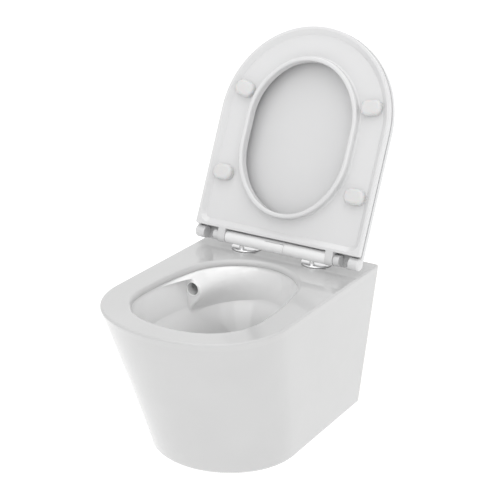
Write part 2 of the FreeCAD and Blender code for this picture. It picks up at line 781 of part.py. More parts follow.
# ------------------------------------- the plates, posts, bolts and plugs under the bar
for side_name, way in (("left", "0 - "), ("right", "")):
    across = way + "post_side"
    gasket = turned("plate_gasket_" + side_name, [
        ("deck_hole", "0"), ("gasket_radius", "0"),
        ("gasket_radius", "gasket_thick"), ("deck_hole", "gasket_thick"),
    ])
    put(gasket, across, "0 - plate_from_wall", "deck_height")

    plate = turned("hinge_plate_" + side_name, [
        ("bolt_radius + plug_clearance", "0"),
        ("plate_radius", "0"),
        ("plate_radius", "plate_thick - plate_round"),
        ("plate_radius - plate_round", "plate_thick"),
        ("bolt_head_radius + plug_clearance", "plate_thick"),
        ("bolt_head_radius + plug_clearance", "plate_thick - bolt_head_thick"),
        ("bolt_radius + plug_clearance", "plate_thick - bolt_head_thick"),
    ])
    put(plate, across, "0 - plate_from_wall", "deck_height + gasket_thick")
    half = "post_stem"
    seat_of_post = sketch_on(plate, "XY_Plane", "post_hole_" + side_name, [
        ("0 - " + half, "plate_from_wall - hinge_from_wall - " + half),
        (half, "plate_from_wall - hinge_from_wall - " + half),
        (half, "plate_from_wall - hinge_from_wall + " + half),
        ("0 - " + half, "plate_from_wall - hinge_from_wall + " + half),
    ])
    hole = plate.newObject("PartDesign::Pocket", "post_hole_cut_" + side_name)
    hole.Profile = seat_of_post
    hole.Type = 1
    hole.Midplane = True
    plate.Tip = hole

    post = turned("hinge_post_" + side_name, [
        ("0", "0"),
        ("post_radius", "0"),
        ("post_radius", "hinge_above_deck - bar_radius + latch_above_bar_foot - latch_clearance"
                        " - gasket_thick - plate_thick"),
        ("post_neck", "hinge_above_deck - bar_radius + latch_above_bar_foot - latch_clearance"
                      " - gasket_thick - plate_thick"),
        ("post_neck", "hinge_above_deck - bar_radius + latch_above_bar_foot + latch_thick"
                      " + latch_clearance - gasket_thick - plate_thick"),
        ("post_radius", "hinge_above_deck - bar_radius + latch_above_bar_foot + latch_thick"
                        " + latch_clearance - gasket_thick - plate_thick"),
        ("post_radius", "hinge_above_deck - bar_radius + latch_above_bar_foot + latch_thick"
                        " + latch_clearance + post_head_thick / 2 - gasket_thick - plate_thick"),
        ("post_neck", "hinge_above_deck - bar_radius + latch_above_bar_foot + latch_thick"
                      " + latch_clearance + post_head_thick - gasket_thick - plate_thick"),
        ("0", "hinge_above_deck - bar_radius + latch_above_bar_foot + latch_thick"
              " + latch_clearance + post_head_thick - gasket_thick - plate_thick"),
    ])
    put(post, across, HINGE_Y, PLATE_TOP)
    tenon = sketch_on(post, "XY_Plane", "post_tenon_" + side_name, [
        ("0 - " + half, "0 - " + half), (half, "0 - " + half), (half, half), ("0 - " + half, half),
    ])
    stem = post.newObject("PartDesign::Pad", "post_stem_" + side_name)
    stem.Profile = tenon
    stem.Reversed = True
    stem.setExpression("Length", bound("plate_thick"))
    post.Tip = stem

    bolt = turned("hinge_bolt_" + side_name, [
        ("0", "0"),
        ("bolt_radius", "0"),
        ("bolt_radius", "bolt_length"),
        ("bolt_head_radius", "bolt_length"),
        ("bolt_head_radius", "bolt_length + bolt_head_thick"),
        ("0", "bolt_length + bolt_head_thick"),
    ])
    put(bolt, across, "0 - plate_from_wall", PLATE_TOP + " - bolt_head_thick - bolt_length")

    plug = turned("expansion_plug_" + side_name, [
        ("bolt_radius + plug_clearance", "0"),
        ("plug_flare", "0"),
        ("plug_flare", "plug_flare_length"),
        ("deck_hole - plug_clearance", "plug_flare_length"),
        ("deck_hole - plug_clearance", "plug_flare_length + deck_wall"),
        ("bolt_radius + plug_clearance", "plug_flare_length + deck_wall"),
    ])
    put(plug, across, "0 - plate_from_wall", "deck_height - deck_wall - plug_flare_length")

    nut = turned("plug_nut_" + side_name, [
        ("bolt_radius", "0"),
        ("plug_nut_radius", "0"),
        ("plug_nut_radius", "plug_nut_thick"),
        ("bolt_radius", "plug_nut_thick"),
    ])
    put(nut, across, "0 - plate_from_wall",
        "deck_height - deck_wall - plug_flare_length - plug_nut_thick")

# --------------------------------------------------------- the hinge bar and its dampers
bay_back = "button_travel + button_gap - button_face_back"
channel_half_width = "(latch_width / 2 + latch_clearance)"
bar_tools = [
    block("button_bay", "2 * button_half + 2 * button_gap", "bar_radius + button_travel",
          "button_foot + button_head + 2 * button_gap",
          "0 - button_half - button_gap", HINGE_Y + " + " + bay_back + " - bar_radius - button_travel",
          HINGE_Z + " - button_foot - button_gap"),
    block("tongue_slot", "2 * tongue_half + 2 * button_gap", "2 * button_travel + button_face_back",
          "tongue_thick + 2 * button_gap",
          "0 - tongue_half - button_gap", HINGE_Y + " - button_face_back + button_travel",
          HINGE_Z + " - button_foot - button_gap"),
    block("cam_slot", "2 * cam_pin_side + 2 * cam_pin_radius + cut_over",
          "button_travel + 2 * cam_pin_radius + cut_over",
          "button_foot",
          "0 - cam_pin_side - cam_pin_radius - cut_over / 2",
          HINGE_Y + " - button_travel / 2 - cam_pin_radius - cut_over / 2",
          HINGE_Z + " - bar_radius + latch_above_bar_foot"),
    block("latch_channel", "2 * post_side + 2 * post_radius", "2 * " + channel_half_width,
          "latch_thick + 2 * latch_clearance",
          "0 - post_side - post_radius", HINGE_Y + " - " + channel_half_width,
          HINGE_Z + " - bar_radius + latch_above_bar_foot - latch_clearance"),
    rod("spring_seat", "spring_seat_radius", "spring_reach + button_face_back",
        "0", HINGE_Y + " - button_face_back", HINGE_Z + " + spring_above_axis", ALONG_Y),
]
for side_name, way in (("left", -1), ("right", 1)):
    start = "0 - bar_half - cut_over" if way < 0 else "bar_half - damper_length - 2 * damper_end_gap"
    bar_tools.append(rod("damper_bore_" + side_name, "damper_radius + damper_clearance",
                         "damper_length + 2 * damper_end_gap + cut_over", start, HINGE_Y, HINGE_Z, ALONG_X))
    bar_tools.append(rod("post_socket_" + side_name, "post_radius + socket_clearance",
                         "latch_above_bar_foot + latch_thick + latch_clearance + post_head_thick"
                         " + plug_clearance + cut_over",
                         ("0 - " if way < 0 else "") + "post_side", HINGE_Y,
                         HINGE_Z + " - bar_radius - cut_over"))
bar_round = rod("bar_round", "bar_radius", "2 * bar_half", "0 - bar_half", HINGE_Y, HINGE_Z, ALONG_X)
node("hinge_bar", cut_from("bar_body", bar_round, bar_tools))

for name, way in (("seat_damper", -1), ("lid_damper", 1)):
    start = "0 - bar_half + damper_end_gap" if way < 0 else "bar_half - damper_end_gap - damper_length"
    hole = "0 - bar_half" if way < 0 else "bar_half - damper_end_gap - shaft_inset"
    barrel = rod(name + "_barrel", "damper_radius", "damper_length", start, HINGE_Y, HINGE_Z, ALONG_X)
    throat = rod(name + "_throat", "shaft_radius + shaft_clearance", "shaft_inset + damper_end_gap",
                 hole, HINGE_Y, HINGE_Z, ALONG_X)
    node(name, cut_from(name + "_body", barrel, [throat]))

# ------------------------------------------- the release button, its spring and latches
button_round = rod("button_round", "bar_radius + button_proud", "2 * button_half",
                   "0 - button_half", HINGE_Y, HINGE_Z, ALONG_X)
button_block = block("button_block", "2 * button_half", "bar_radius", "button_foot + button_head",
                     "0 - button_half", HINGE_Y + " - button_face_back - bar_radius",
                     HINGE_Z + " - button_foot")
button_face = doc.addObject("Part::Common", "button_face")
button_face.Base = button_round
button_face.Tool = button_block
button_pieces = [
    button_face,
    block("button_tongue", "2 * tongue_half", "button_face_back + 2 * weld", "tongue_thick",
          "0 - tongue_half", HINGE_Y + " - button_face_back - weld", HINGE_Z + " - button_foot"),
    rod("button_spigot", "spring_seat_radius / 2", "button_travel / 2",
        "0", HINGE_Y + " - button_face_back - weld", HINGE_Z + " + spring_above_axis", ALONG_Y),
]
for side_name, way in (("left", "0 - "), ("right", "")):
    button_pieces.append(rod("cam_pin_" + side_name, "cam_pin_radius",
                             "bar_radius - latch_above_bar_foot - button_foot + tongue_thick / 2",
                             way + "cam_pin_side", HINGE_Y + " - button_travel / 2",
                             HINGE_Z + " - bar_radius + latch_above_bar_foot"))
node("release_button", joined("button_body", button_pieces))

slope = "latch_travel / button_travel"
slot_end = "(button_travel / 2 + cam_pin_radius + latch_clearance)"
slot_half = "(cam_pin_radius + latch_clearance) * cam_slot_widening"
for side_name, turn in (("right", Rotation()), ("left", Rotation(Vector(0, 1, 0), 180))):
    latch = doc.addObject("PartDesign::Body", "latch_" + side_name)
    reach = "post_side - post_radius + latch_grip"
    blank = sketch_on(latch, "XY_Plane", "latch_blank_" + side_name, [
        ("latch_inner_end", "0 - latch_width / 2"),
        (reach, "0 - latch_width / 2"),
        (reach, "latch_width / 2"),
        ("latch_inner_end", "latch_width / 2"),
    ])
    pad = latch.newObject("PartDesign::Pad", "latch_pad_" + side_name)
    pad.Profile = blank
    pad.Midplane = True
    pad.setExpression("Length", bound("latch_thick"))
    low = "cam_pin_side + (button_travel / 2 - " + slot_end + ") * " + slope
    high = "cam_pin_side + (button_travel / 2 + " + slot_end + ") * " + slope
    slot = sketch_on(latch, "XY_Plane", "latch_slot_" + side_name, [
        (low + " - " + slot_half, "0 - " + slot_end),
        (low + " + " + slot_half, "0 - " + slot_end),
        (high + " + " + slot_half, slot_end),
        (high + " - " + slot_half, slot_end),
    ])
    cam = latch.newObject("PartDesign::Pocket", "latch_cam_" + side_name)
    cam.Profile = slot
    cam.Type = 1
    cam.Midplane = True
    latch.Tip = cam
    put(latch, "0", HINGE_Y, HINGE_Z + " - bar_radius + latch_above_bar_foot + latch_thick / 2", turn)
    node("latch_" + side_name, latch)


def make_spring():
    """The button's return spring, wound about its own Z axis."""
    radius = spring_seat_radius - spring_wire / 2.0 - spring_clearance
    length = button_face_back + spring_reach - spring_wire - 2 * spring_clearance
    helix = Part.makeHelix(length / spring_turns, length, radius)
    ring = Part.Wire(Part.makeCircle(spring_wire / 2.0, Vector(radius, 0, 0), Vector(0, 1, 0)))
    return Part.Wire(helix.Edges).makePipeShell([ring], True, True)


spring = node("button_spring", make_spring())
spring_start = hinge_y - button_face_back + spring_wire / 2.0 + spring_clearance
spring.Placement = Placement(Vector(0, spring_start, hinge_z + spring_above_axis), ALONG_Y)

# -------------------------------------------------------------- the seat and the lid
# Both are drawn shut, about the hinge axis as their origin, and then swung open.
swung_open = Placement(Vector(0, hinge_y, hinge_z), Rotation(Vector(1, 0, 0), -open_angle))
lug_start = bar_half + lug_gap
lid_lug_start = lug_start + seat_lug_width + lug_gap
lid_lug_end = lid_lug_start + lid_lug_width
shaft_end = lid_lug_end - lug_end_wall
bush_radius = shaft_radius + shaft_clearance + bush_wall
trough_radius = seat_lug_radius + sweep_clearance
lid_top = trough_radius + trough_wall
seat_top = seat_thick - seat_below_axis
seat_hole_half = seat_width / 2.0 - seat_band
seat_hole_front = seat_reach - seat_front_band
knuckle_inner = lid_width / 2.0 - knuckle_length
lid_stop_side = seat_width / 2.0 - lid_stop_inset


def d_outline(half, reach, rear, corner, z):
    """A D that is a half circle at the front and has two small corners at the rear."""
    start = -(reach - half)
    back = -rear
    turn = corner * (1 - math.sqrt(0.5))
    edges = [
        line(Vector(half, back - corner, z), Vector(half, start, z)),
        Part.Arc(Vector(half, start, z), Vector(0, start - half, z), Vector(-half, start, z)).toShape(),
        line(Vector(-half, start, z), Vector(-half, back - corner, z)),
        Part.Arc(Vector(-half, back - corner, z), Vector(-half + turn, back - turn, z),
                 Vector(-half + corner, back, z)).toShape(),
        line(Vector(-half + corner, back, z), Vector(half - corner, back, z)),
        Part.Arc(Vector(half - corner, back, z), Vector(half - turn, back - turn, z),
                 Vector(half, back - corner, z)).toShape(),
    ]
    return Part.Wire(edges)


def seat_hole(grow, z):
    """The hole in the seat, made larger all round by grow."""
    half = seat_hole_half + grow
    return egg(half, seat_hole_front + grow,
               half + seat_hole_nose, half + seat_hole_nose_shoulder,
               seat_hole_back - grow,
               half + seat_hole_tail, half + seat_hole_tail_shoulder, z)


def touch_point(radius, point, sign):
    """Where a line from a point touches a circle about the hinge axis, in Y and Z."""
    distance = math.hypot(point[0], point[1])
    angle = math.atan2(point[1], point[0]) + sign * math.acos(radius / distance)
    return (radius * math.cos(angle), radius * math.sin(angle))


def across(x0, x1, outline):
    """A prism along X from an outline of (y, z) corners."""
    corners = [Vector(x0, y, z) for y, z in outline]
    face = Part.Face(Part.makePolygon(corners + corners[:1]))
    return face.extrude(Vector(x1 - x0, 0, 0))


def seat_lug(x0, x1):
    """The seat's arm round the hinge axis, which runs smoothly into the seat's plate."""
    under = (-seat_rear - overlap, -seat_below_axis)
    over = (-seat_rear - overlap, seat_top)
    web = [under, touch_point(seat_lug_radius, under, 1), (0.0, 0.0),
           touch_point(seat_lug_radius, over, -1), over]
    return bar_along_x(seat_lug_radius, x0, x1).fuse(across(x0, x1, web))


def keyed_hole(x0, x1):
    """A round hole with two flats, which turns with its shaft."""
    flat = shaft_flat + shaft_clearance
    slab_reach = shaft_radius * 2
    return bar_along_x(shaft_radius + shaft_clearance, x0, x1).common(
        box(x0, x1, -slab_reach, slab_reach, -flat, flat))


def on_hole(point, grow):
    """Whether a point lies on the hole's outline, made larger by grow."""
    wire = seat_hole(grow, point.z)
    return wire.distToShape(Part.Vertex(point))[0] < TOUCH


def make_seat():
    low = -seat_below_axis
    half = seat_width / 2.0
    seat = prism(d_outline(half, seat_reach, seat_rear, seat_rear_corner, low), seat_thick)
    outer_edges = edges_at(seat, lambda p: min(abs(p.z - low), abs(p.z - seat_top)) < TOUCH)
    seat = seat.makeFillet(seat_edge_round, outer_edges)
    wide = seat_rim_land
    narrow = seat_rim_land + seat_tray_slope
    tray = loft([
        d_outline(half - wide, seat_reach - wide, seat_rear + wide, seat_tray_corner, low),
        d_outline(half - narrow, seat_reach - narrow, seat_rear + narrow,
                  seat_tray_corner - seat_tray_slope, low + seat_tray_depth),
    ])
    seat = seat.cut(tray)
    bottom = low - seat_lip_drop
    seat = seat.fuse(prism(seat_hole(seat_lip_width, bottom), seat_top - bottom))
    foot_edges = edges_at(seat, lambda p: abs(p.z - low - seat_tray_depth) < TOUCH
                          and on_hole(p, seat_lip_width))
    seat = seat.makeFillet(seat_lip_foot_round, foot_edges)
    seat = seat.cut(prism(seat_hole(0, bottom - overlap), seat_top - bottom + 2 * overlap))
    lip_edges = edges_at(seat, lambda p: abs(p.z - bottom) < TOUCH)
    seat = seat.makeFillet(seat_lip_round, lip_edges)
    mouth_edges = edges_at(seat, lambda p: abs(p.z - seat_top) < TOUCH and on_hole(p, 0))
    seat = seat.makeFillet(seat_hole_round, mouth_edges)
    lug_end = lug_start + seat_lug_width
    for x0, x1 in ((-lug_end, -lug_start), (lug_start, lug_end)):
        seat = seat.fuse(seat_lug(x0, x1))
    seat = seat.cut(keyed_hole(-lug_end - cut_over, -lug_start + cut_over))
    return seat.cut(bar_along_x(bush_radius, lug_start - cut_over, lug_end + cut_over))


node("seat_ring", make_seat(), swung_open)


def seat_buffer(reach, side_reach, turn, z0):
    """A soft pad under the seat, its corners and its foot rounded."""
    height = hinge_above_deck - buffer_gap + z0
    pad = Part.makeBox(buffer_width, buffer_length, height,
                       Vector(-buffer_width / 2.0, -buffer_length / 2.0, 0))
    upright = [edge for edge in pad.Edges if abs(edge.tangentAt(edge.FirstParameter).z) > UPRIGHT]
    pad = pad.makeFillet(buffer_corner, upright)
    foot_edges = edges_at(pad, lambda p: p.z < TOUCH)
    pad = pad.makeFillet(buffer_round, foot_edges)
    pad.rotate(Vector(0, 0, 0), Vector(0, 0, 1), turn)
    pad.translate(Vector(side_reach, -reach, z0 - height))
    return pad


tray_floor = seat_tray_depth - seat_below_axis
for side_name, way in (("left", -1), ("right", 1)):
    front_side = way * (seat_width / 2.0 - buffer_front_inset)
    rear_side = way * (seat_width / 2.0 - buffer_rear_inset)
    front_pad = seat_buffer(buffer_front, front_side, way * -buffer_turn, tray_floor)
    rear_pad = seat_buffer(buffer_rear, rear_side, 0, tray_floor)
    node("seat_buffer_front_" + side_name, front_pad, swung_open)
    node("seat_buffer_rear_" + side_name, rear_pad, swung_open)


def barrel(x0, x1, radius, rounding):
    """A round bar along X whose two ends are rounded."""
    solid = bar_along_x(radius, x0, x1)
    rims = edges_at(solid, lambda p: min(abs(p.x - x0), abs(p.x - x1)) < TOUCH)
    return solid.makeFillet(rounding, rims)


def trough():
    """The rear of the lid, which curls down behind the hinge bar."""
    half = lid_width / 2.0
    lip = math.radians(trough_lip_angle)
    far = lid_top * 2
    wedge = [(0.0, 0.0), (far * math.cos(lip), far * math.sin(lip)), (far * math.cos(lip), far),
             (0.0, far)]
    curl = barrel(-half, half, lid_top, lid_edge_round)
    return curl.common(across(-half - cut_over, half + cut_over, wedge))


def make_lid():
    half = lid_width / 2.0
    low = seat_top + lid_seat_gap
    body = prism(d_outline(half, lid_reach, -lid_tail, seat_rear_corner, low), lid_top - low)
    top_edges = edges_at(body, lambda p: abs(p.z - lid_top) < TOUCH)
    body = body.makeFillet(lid_edge_round - TOUCH, top_edges)
    body = body.common(box(-half - cut_over, half + cut_over, -lid_reach - cut_over, 0,
                           low - cut_over, lid_top + cut_over))
    hollow = prism(d_outline(half - lid_skirt, lid_reach - lid_skirt, -lid_tail * 2, seat_rear_corner,
                             low - cut_over), lid_top - lid_wall - low + cut_over)
    crown = edges_at(hollow, lambda p: abs(p.z - lid_top + lid_wall) < TOUCH)
    hollow = hollow.makeFillet(lid_inner_round, crown)
    body = body.cut(hollow).fuse(trough())
    body = body.cut(bar_along_x(trough_radius, -knuckle_inner, knuckle_inner))
    for way in (-1, 1):
        ends = sorted((way * knuckle_inner, way * half))
        knuckle = bar_along_x(knuckle_radius, ends[0], ends[1])
        rim = edges_at(knuckle, lambda p: abs(abs(p.x) - half) < TOUCH)
        body = body.fuse(knuckle.makeFillet(knuckle_round, rim))
        ends = sorted((way * lid_lug_start, way * lid_lug_end))
        web = box(ends[0], ends[1], -lid_web_half, lid_web_half, lid_web_foot,
                  lid_top - trough_wall + weld)
        body = body.fuse(bar_along_x(lid_lug_radius, ends[0], ends[1])).fuse(web)
        stop = Part.makeCylinder(lid_stop_radius, lid_top - lid_wall + weld,
                                 Vector(way * lid_stop_side, -lid_stop_reach, 0))
        socket = Part.makeCylinder(lid_stop_stem, lid_stop_stem_length,
                                   Vector(way * lid_stop_side, -lid_stop_reach, 0))
        body = body.fuse(stop).cut(socket)
    body = body.cut(keyed_hole(lid_lug_start - cut_over, shaft_end))
    return body.cut(bar_along_x(bush_radius, -lid_lug_end - cut_over, -lid_lug_start + cut_over))


node("lid", make_lid(), swung_open)

for side_name, way in (("left", -1), ("right", 1)):
    place = Vector(way * lid_stop_side, -lid_stop_reach, seat_top + buffer_gap)
    cap = Part.makeCylinder(lid_stop_radius - lid_buffer_inset, -seat_top - buffer_gap, place)
    cap_edges = edges_at(cap, lambda p: abs(p.z - place.z) < TOUCH)
    cap = cap.makeFillet(lid_buffer_inset, cap_edges)
    stem = Part.makeCylinder(lid_stop_stem, lid_stop_stem_length, Vector(place.x, place.y, -weld))
    node("lid_buffer_" + side_name, cap.fuse(stem), swung_open)


def make_shaft(way, key_start, key_end):
    """A damper's shaft, round but for the two flats where it turns a lug."""
    inner = bar_half - damper_end_gap - shaft_inset
    ends = sorted((way * inner, way * shaft_end))
    shaft = bar_along_x(shaft_radius, ends[0], ends[1])
    key = sorted((way * key_start, way * key_end))
    for low, high in ((shaft_flat, shaft_radius * 2), (-shaft_radius * 2, -shaft_flat)):
        shaft = shaft.cut(box(key[0], key[1], -shaft_radius * 2, shaft_radius * 2, low, high))
    return shaft


node("seat_shaft", make_shaft(-1, lug_start, lug_start + seat_lug_width), swung_open)
node("lid_shaft", make_shaft(1, lid_lug_start, shaft_end), swung_open)

for name, x0, x1 in (("lid_bush", -lid_lug_end, -lid_lug_start),
                     ("seat_bush", lug_start, lug_start + seat_lug_width)):
    bore = bar_along_x(shaft_radius + shaft_clearance, x0 - cut_over, x1 + cut_over)
    node(name, bar_along_x(bush_radius, x0, x1).cut(bore), swung_open)


def write_parts():
    doc.recompute()
    os.makedirs("parts", exist_ok=True)
    for part in doc.Objects:
        if "Invalid" in part.State or "Error" in part.State:
            raise RuntimeError("failed object: " + part.Name)
    for part in nodes:
        print(part.Label, len(part.Shape.Solids), round(part.Shape.Volume / 1000.0, 2))
        if part.Shape.isNull() or not part.Shape.isValid():
            raise RuntimeError("bad shape: " + part.Label)
        part.Shape.exportStep(os.path.join("parts", part.Label + ".step"))


write_parts()
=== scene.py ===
"""Wall hung toilet with the seat and lid open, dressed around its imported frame."""

import bmesh
import bpy
from mathutils import Matrix, Vector


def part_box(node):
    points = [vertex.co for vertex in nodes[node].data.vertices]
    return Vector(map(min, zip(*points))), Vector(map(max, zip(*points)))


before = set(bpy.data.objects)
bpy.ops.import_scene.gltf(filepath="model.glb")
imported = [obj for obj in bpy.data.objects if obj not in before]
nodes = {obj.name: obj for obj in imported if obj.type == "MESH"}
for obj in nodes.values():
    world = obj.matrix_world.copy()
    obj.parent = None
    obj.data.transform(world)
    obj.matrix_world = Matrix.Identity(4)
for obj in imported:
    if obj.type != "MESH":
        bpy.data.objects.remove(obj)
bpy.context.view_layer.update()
scene = bpy.context.scene


# The camera stands in front of the pan and to its right, at the height of a
# person's chest, and looks slightly down with a long lens.
camera_place = Vector((1.22256, -2.13732, 1.02615))
camera_aim = Vector((-0.0028, -0.16302, 0.12605))
lens_data = bpy.data.cameras.new("camera")
lens_data.sensor_width = 36
lens_data.lens = 97.64
camera = bpy.data.objects.new("camera", lens_data)
camera.location = camera_place
camera.rotation_euler = (camera_aim - camera_place).to_track_quat("-Z", "Y").to_euler()
scene.collection.objects.link(camera)
scene.camera = camera


# The studio floor: pale and even, a little below the foot of the pan, which
# hangs clear of it as it does on a wall.
floor_level = -0.5
floor_size = 40
floor_mesh = bpy.data.meshes.new("studio_floor")
form = bmesh.new()
bmesh.ops.create_grid(form, x_segments=1, y_segments=1, size=floor_size / 2,
                      matrix=Matrix.Translation((0, 0, floor_level)))
form.to_mesh(floor_mesh)
form.free()
floor = bpy.data.objects.new("studio_floor", floor_mesh)
scene.collection.objects.link(floor)
floor_paint = bpy.data.materials.new("pale_floor")
floor_paint.use_nodes = True
floor_shader = floor_paint.node_tree.nodes["Principled BSDF"]
floor_shader.inputs["Base Color"].default_value = (0.9, 0.9, 0.9, 1)
floor_shader.inputs["Roughness"].default_value = 0.9
floor_shader.inputs["Specular IOR Level"].default_value = 0.1
floor_shader.inputs["Emission Color"].default_value = (1, 1, 1, 1)
glow_place = floor_paint.node_tree.nodes.new("ShaderNodeTexCoord")
glow_reach = floor_paint.node_tree.nodes.new("ShaderNodeVectorMath")
glow_reach.operation = "LENGTH"
floor_paint.node_tree.links.new(glow_place.outputs["Object"], glow_reach.inputs[0])
glow = floor_paint.node_tree.nodes.new("ShaderNodeMapRange")
glow.inputs["From Min"].default_value = 0.6
glow.inputs["From Max"].default_value = 3.5
glow.inputs["To Min"].default_value = 0.22
glow.inputs["To Max"].default_value = 0.3
floor_paint.node_tree.links.new(glow_reach.outputs["Value"], glow.inputs["Value"])
floor_paint.node_tree.links.new(glow.outputs["Result"], floor_shader.inputs["Emission Strength"])
floor_mesh.materials.append(floor_paint)


# The light: a pale surround that is a little darker towards the front left,
# and three large soft boxes above the pan, to its right and in front of it.
scene.view_settings.view_transform = "Standard"
surround = bpy.data.worlds.new("surround")
surround.use_nodes = True
sky = surround.node_tree
sky.nodes["Background"].inputs["Color"].default_value = (1, 1, 1, 1)
sky_place = sky.nodes.new("ShaderNodeTexCoord")
sky_side = sky.nodes.new("ShaderNodeVectorMath")
sky_side.operation = "DOT_PRODUCT"
sky_side.inputs[1].default_value = (-0.88, -0.47, -0.05)
sky.links.new(sky_place.outputs["Generated"], sky_side.inputs[0])
sky_fall = sky.nodes.new("ShaderNodeMapRange")
sky_fall.interpolation_type = "SMOOTHSTEP"
sky_fall.inputs["From Min"].default_value = 0.05
sky_fall.inputs["From Max"].default_value = 0.95
sky_fall.inputs["To Min"].default_value = 0.98
sky_fall.inputs["To Max"].default_value = 0.8
sky.links.new(sky_side.outputs["Value"], sky_fall.inputs["Value"])
sky.links.new(sky_fall.outputs["Result"], sky.nodes["Background"].inputs["Strength"])
scene.world = surround
soft_boxes = {
    "key_box": ((1.7, -1.7, 2.2), (0, -0.2, 0.1), 1.8, 1.8, 4),
    "top_box": ((0, -0.5, 2.8), (0, -0.25, 0), 2.6, 2.2, 17),
    "front_box": ((0.7, -3.2, 2.1), (0, -0.2, 0.1), 2.2, 1.4, 10),
}
for box_name, (box_place, box_aim, box_width, box_height, box_power) in soft_boxes.items():
    lamp = bpy.data.lights.new(box_name, "AREA")
    lamp.shape = "RECTANGLE"
    lamp.size = box_width
    lamp.size_y = box_height
    lamp.energy = box_power
    holder = bpy.data.objects.new(box_name, lamp)
    holder.location = box_place
    box_way = Vector(box_aim) - Vector(box_place)
    holder.rotation_euler = box_way.to_track_quat("-Z", "Y").to_euler()
    scene.collection.objects.link(holder)


# The china casting: a clear, hard glaze, slightly wavy and pooled, over a white
# body; the edge against the wall is matt and unglazed. The bowl's lighter tone is
# painted light on the same china, and its greying towards the sump is painted
# shade; both are there to match the photograph's tones.
# The bowl's 0.88 is painted light: a lighter copy of the same china as the pan.
china_tones_and_painted_light = {"pan": 0.53, "rim": 0.54, "bowl": 0.88, "trap": 0.53, "flush_way": 0.53,
                "stud_rib_left": 0.53, "stud_rib_right": 0.53}
# The band above the sump in which the bowl's painted shade fades in.
sump_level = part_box("bowl")[0][2]
painted_shade_foot = sump_level + 0.09
painted_shade_top = sump_level + 0.18
painted_shade_at_sump = 0.58
pooled_less = 0.012
pooled_more = 0.006
glaze_matt_face = -0.0008
for name, china_tone in china_tones_and_painted_light.items():
    glaze = bpy.data.materials.new(name + "_china")
    glaze.use_nodes = True
    tree = glaze.node_tree
    shader = tree.nodes["Principled BSDF"]
    shader.inputs["IOR"].default_value = 1.52
    shader.inputs["Coat Roughness"].default_value = 0.03
    place = tree.nodes.new("ShaderNodeTexCoord")
    pooling = tree.nodes.new("ShaderNodeTexNoise")
    pooling.inputs["Scale"].default_value = 9
    pooling.inputs["Detail"].default_value = 3
    tree.links.new(place.outputs["Object"], pooling.inputs["Vector"])
    glaze_tint = tree.nodes.new("ShaderNodeValToRGB")
    glaze_tint.color_ramp.elements[0].position = 0.3
    glaze_tint.color_ramp.elements[0].color = (china_tone - pooled_less,) * 3 + (1,)
    glaze_tint.color_ramp.elements[1].position = 0.7
    glaze_tint.color_ramp.elements[1].color = (china_tone + pooled_more,) * 3 + (1,)
    tree.links.new(pooling.outputs["Fac"], glaze_tint.inputs["Fac"])
    apart = tree.nodes.new("ShaderNodeSeparateXYZ")
    tree.links.new(place.outputs["Object"], apart.inputs["Vector"])
    painted_sump_shade = tree.nodes.new("ShaderNodeMapRange")
    painted_sump_shade.interpolation_type = "SMOOTHSTEP"
    painted_sump_shade.inputs["From Min"].default_value = painted_shade_foot
    painted_sump_shade.inputs["From Max"].default_value = painted_shade_top
    # Painted shade: the bowl's colour falls to this share of its tone at the sump.
    painted_sump_shade.inputs["To Min"].default_value = painted_shade_at_sump if name == "bowl" else 1
    painted_sump_shade.inputs["To Max"].default_value = 1
    tree.links.new(apart.outputs["Z"], painted_sump_shade.inputs["Value"])
    tint_with_painted_shade = tree.nodes.new("ShaderNodeVectorMath")
    tint_with_painted_shade.operation = "SCALE"
    tree.links.new(glaze_tint.outputs["Color"], tint_with_painted_shade.inputs[0])
    tree.links.new(painted_sump_shade.outputs["Result"], tint_with_painted_shade.inputs["Scale"])
    matt = tree.nodes.new("ShaderNodeMath")
    matt.operation = "GREATER_THAN"
    matt.inputs[1].default_value = glaze_matt_face
    tree.links.new(apart.outputs["Y"], matt.inputs[0])
    grain = tree.nodes.new("ShaderNodeTexNoise")
    grain.inputs["Scale"].default_value = 900
    grain.inputs["Detail"].default_value = 2
    tree.links.new(place.outputs["Object"], grain.inputs["Vector"])
    bisque = tree.nodes.new("ShaderNodeMix")
    bisque.data_type = "RGBA"
    bisque.inputs["B"].default_value = (0.66, 0.62, 0.56, 1)
    tree.links.new(matt.outputs["Value"], bisque.inputs["Factor"])
    tree.links.new(tint_with_painted_shade.outputs["Vector"], bisque.inputs["A"])
    tree.links.new(bisque.outputs["Result"], shader.inputs["Base Color"])
    roughness = tree.nodes.new("ShaderNodeMapRange")
    roughness.inputs["To Min"].default_value = 0.09
    roughness.inputs["To Max"].default_value = 0.75
    tree.links.new(matt.outputs["Value"], roughness.inputs["Value"])
    tree.links.new(roughness.outputs["Result"], shader.inputs["Roughness"])
    coat = tree.nodes.new("ShaderNodeMapRange")
    coat.inputs["To Min"].default_value = 0.6
    coat.inputs["To Max"].default_value = 0.0
    tree.links.new(matt.outputs["Value"], coat.inputs["Value"])
    tree.links.new(coat.outputs["Result"], shader.inputs["Coat Weight"])
    wave = tree.nodes.new("ShaderNodeTexNoise")
    wave.inputs["Scale"].default_value = 26
    wave.inputs["Detail"].default_value = 1
    tree.links.new(place.outputs["Object"], wave.inputs["Vector"])
    sag = tree.nodes.new("ShaderNodeBump")
    sag.inputs["Strength"].default_value = 0.06
    sag.inputs["Distance"].default_value = 0.0012
    tree.links.new(wave.outputs["Fac"], sag.inputs["Height"])
    bisque_grain = tree.nodes.new("ShaderNodeBump")
    bisque_grain.inputs["Distance"].default_value = 0.0002
    tree.links.new(matt.outputs["Value"], bisque_grain.inputs["Strength"])
    tree.links.new(grain.outputs["Fac"], bisque_grain.inputs["Height"])
    tree.links.new(sag.outputs["Normal"], bisque_grain.inputs["Normal"])
    tree.links.new(bisque_grain.outputs["Normal"], shader.inputs["Normal"])
    tree.links.new(sag.outputs["Normal"], shader.inputs["Coat Normal"])
    nodes[name].data.materials.clear()
    nodes[name].data.materials.append(glaze)


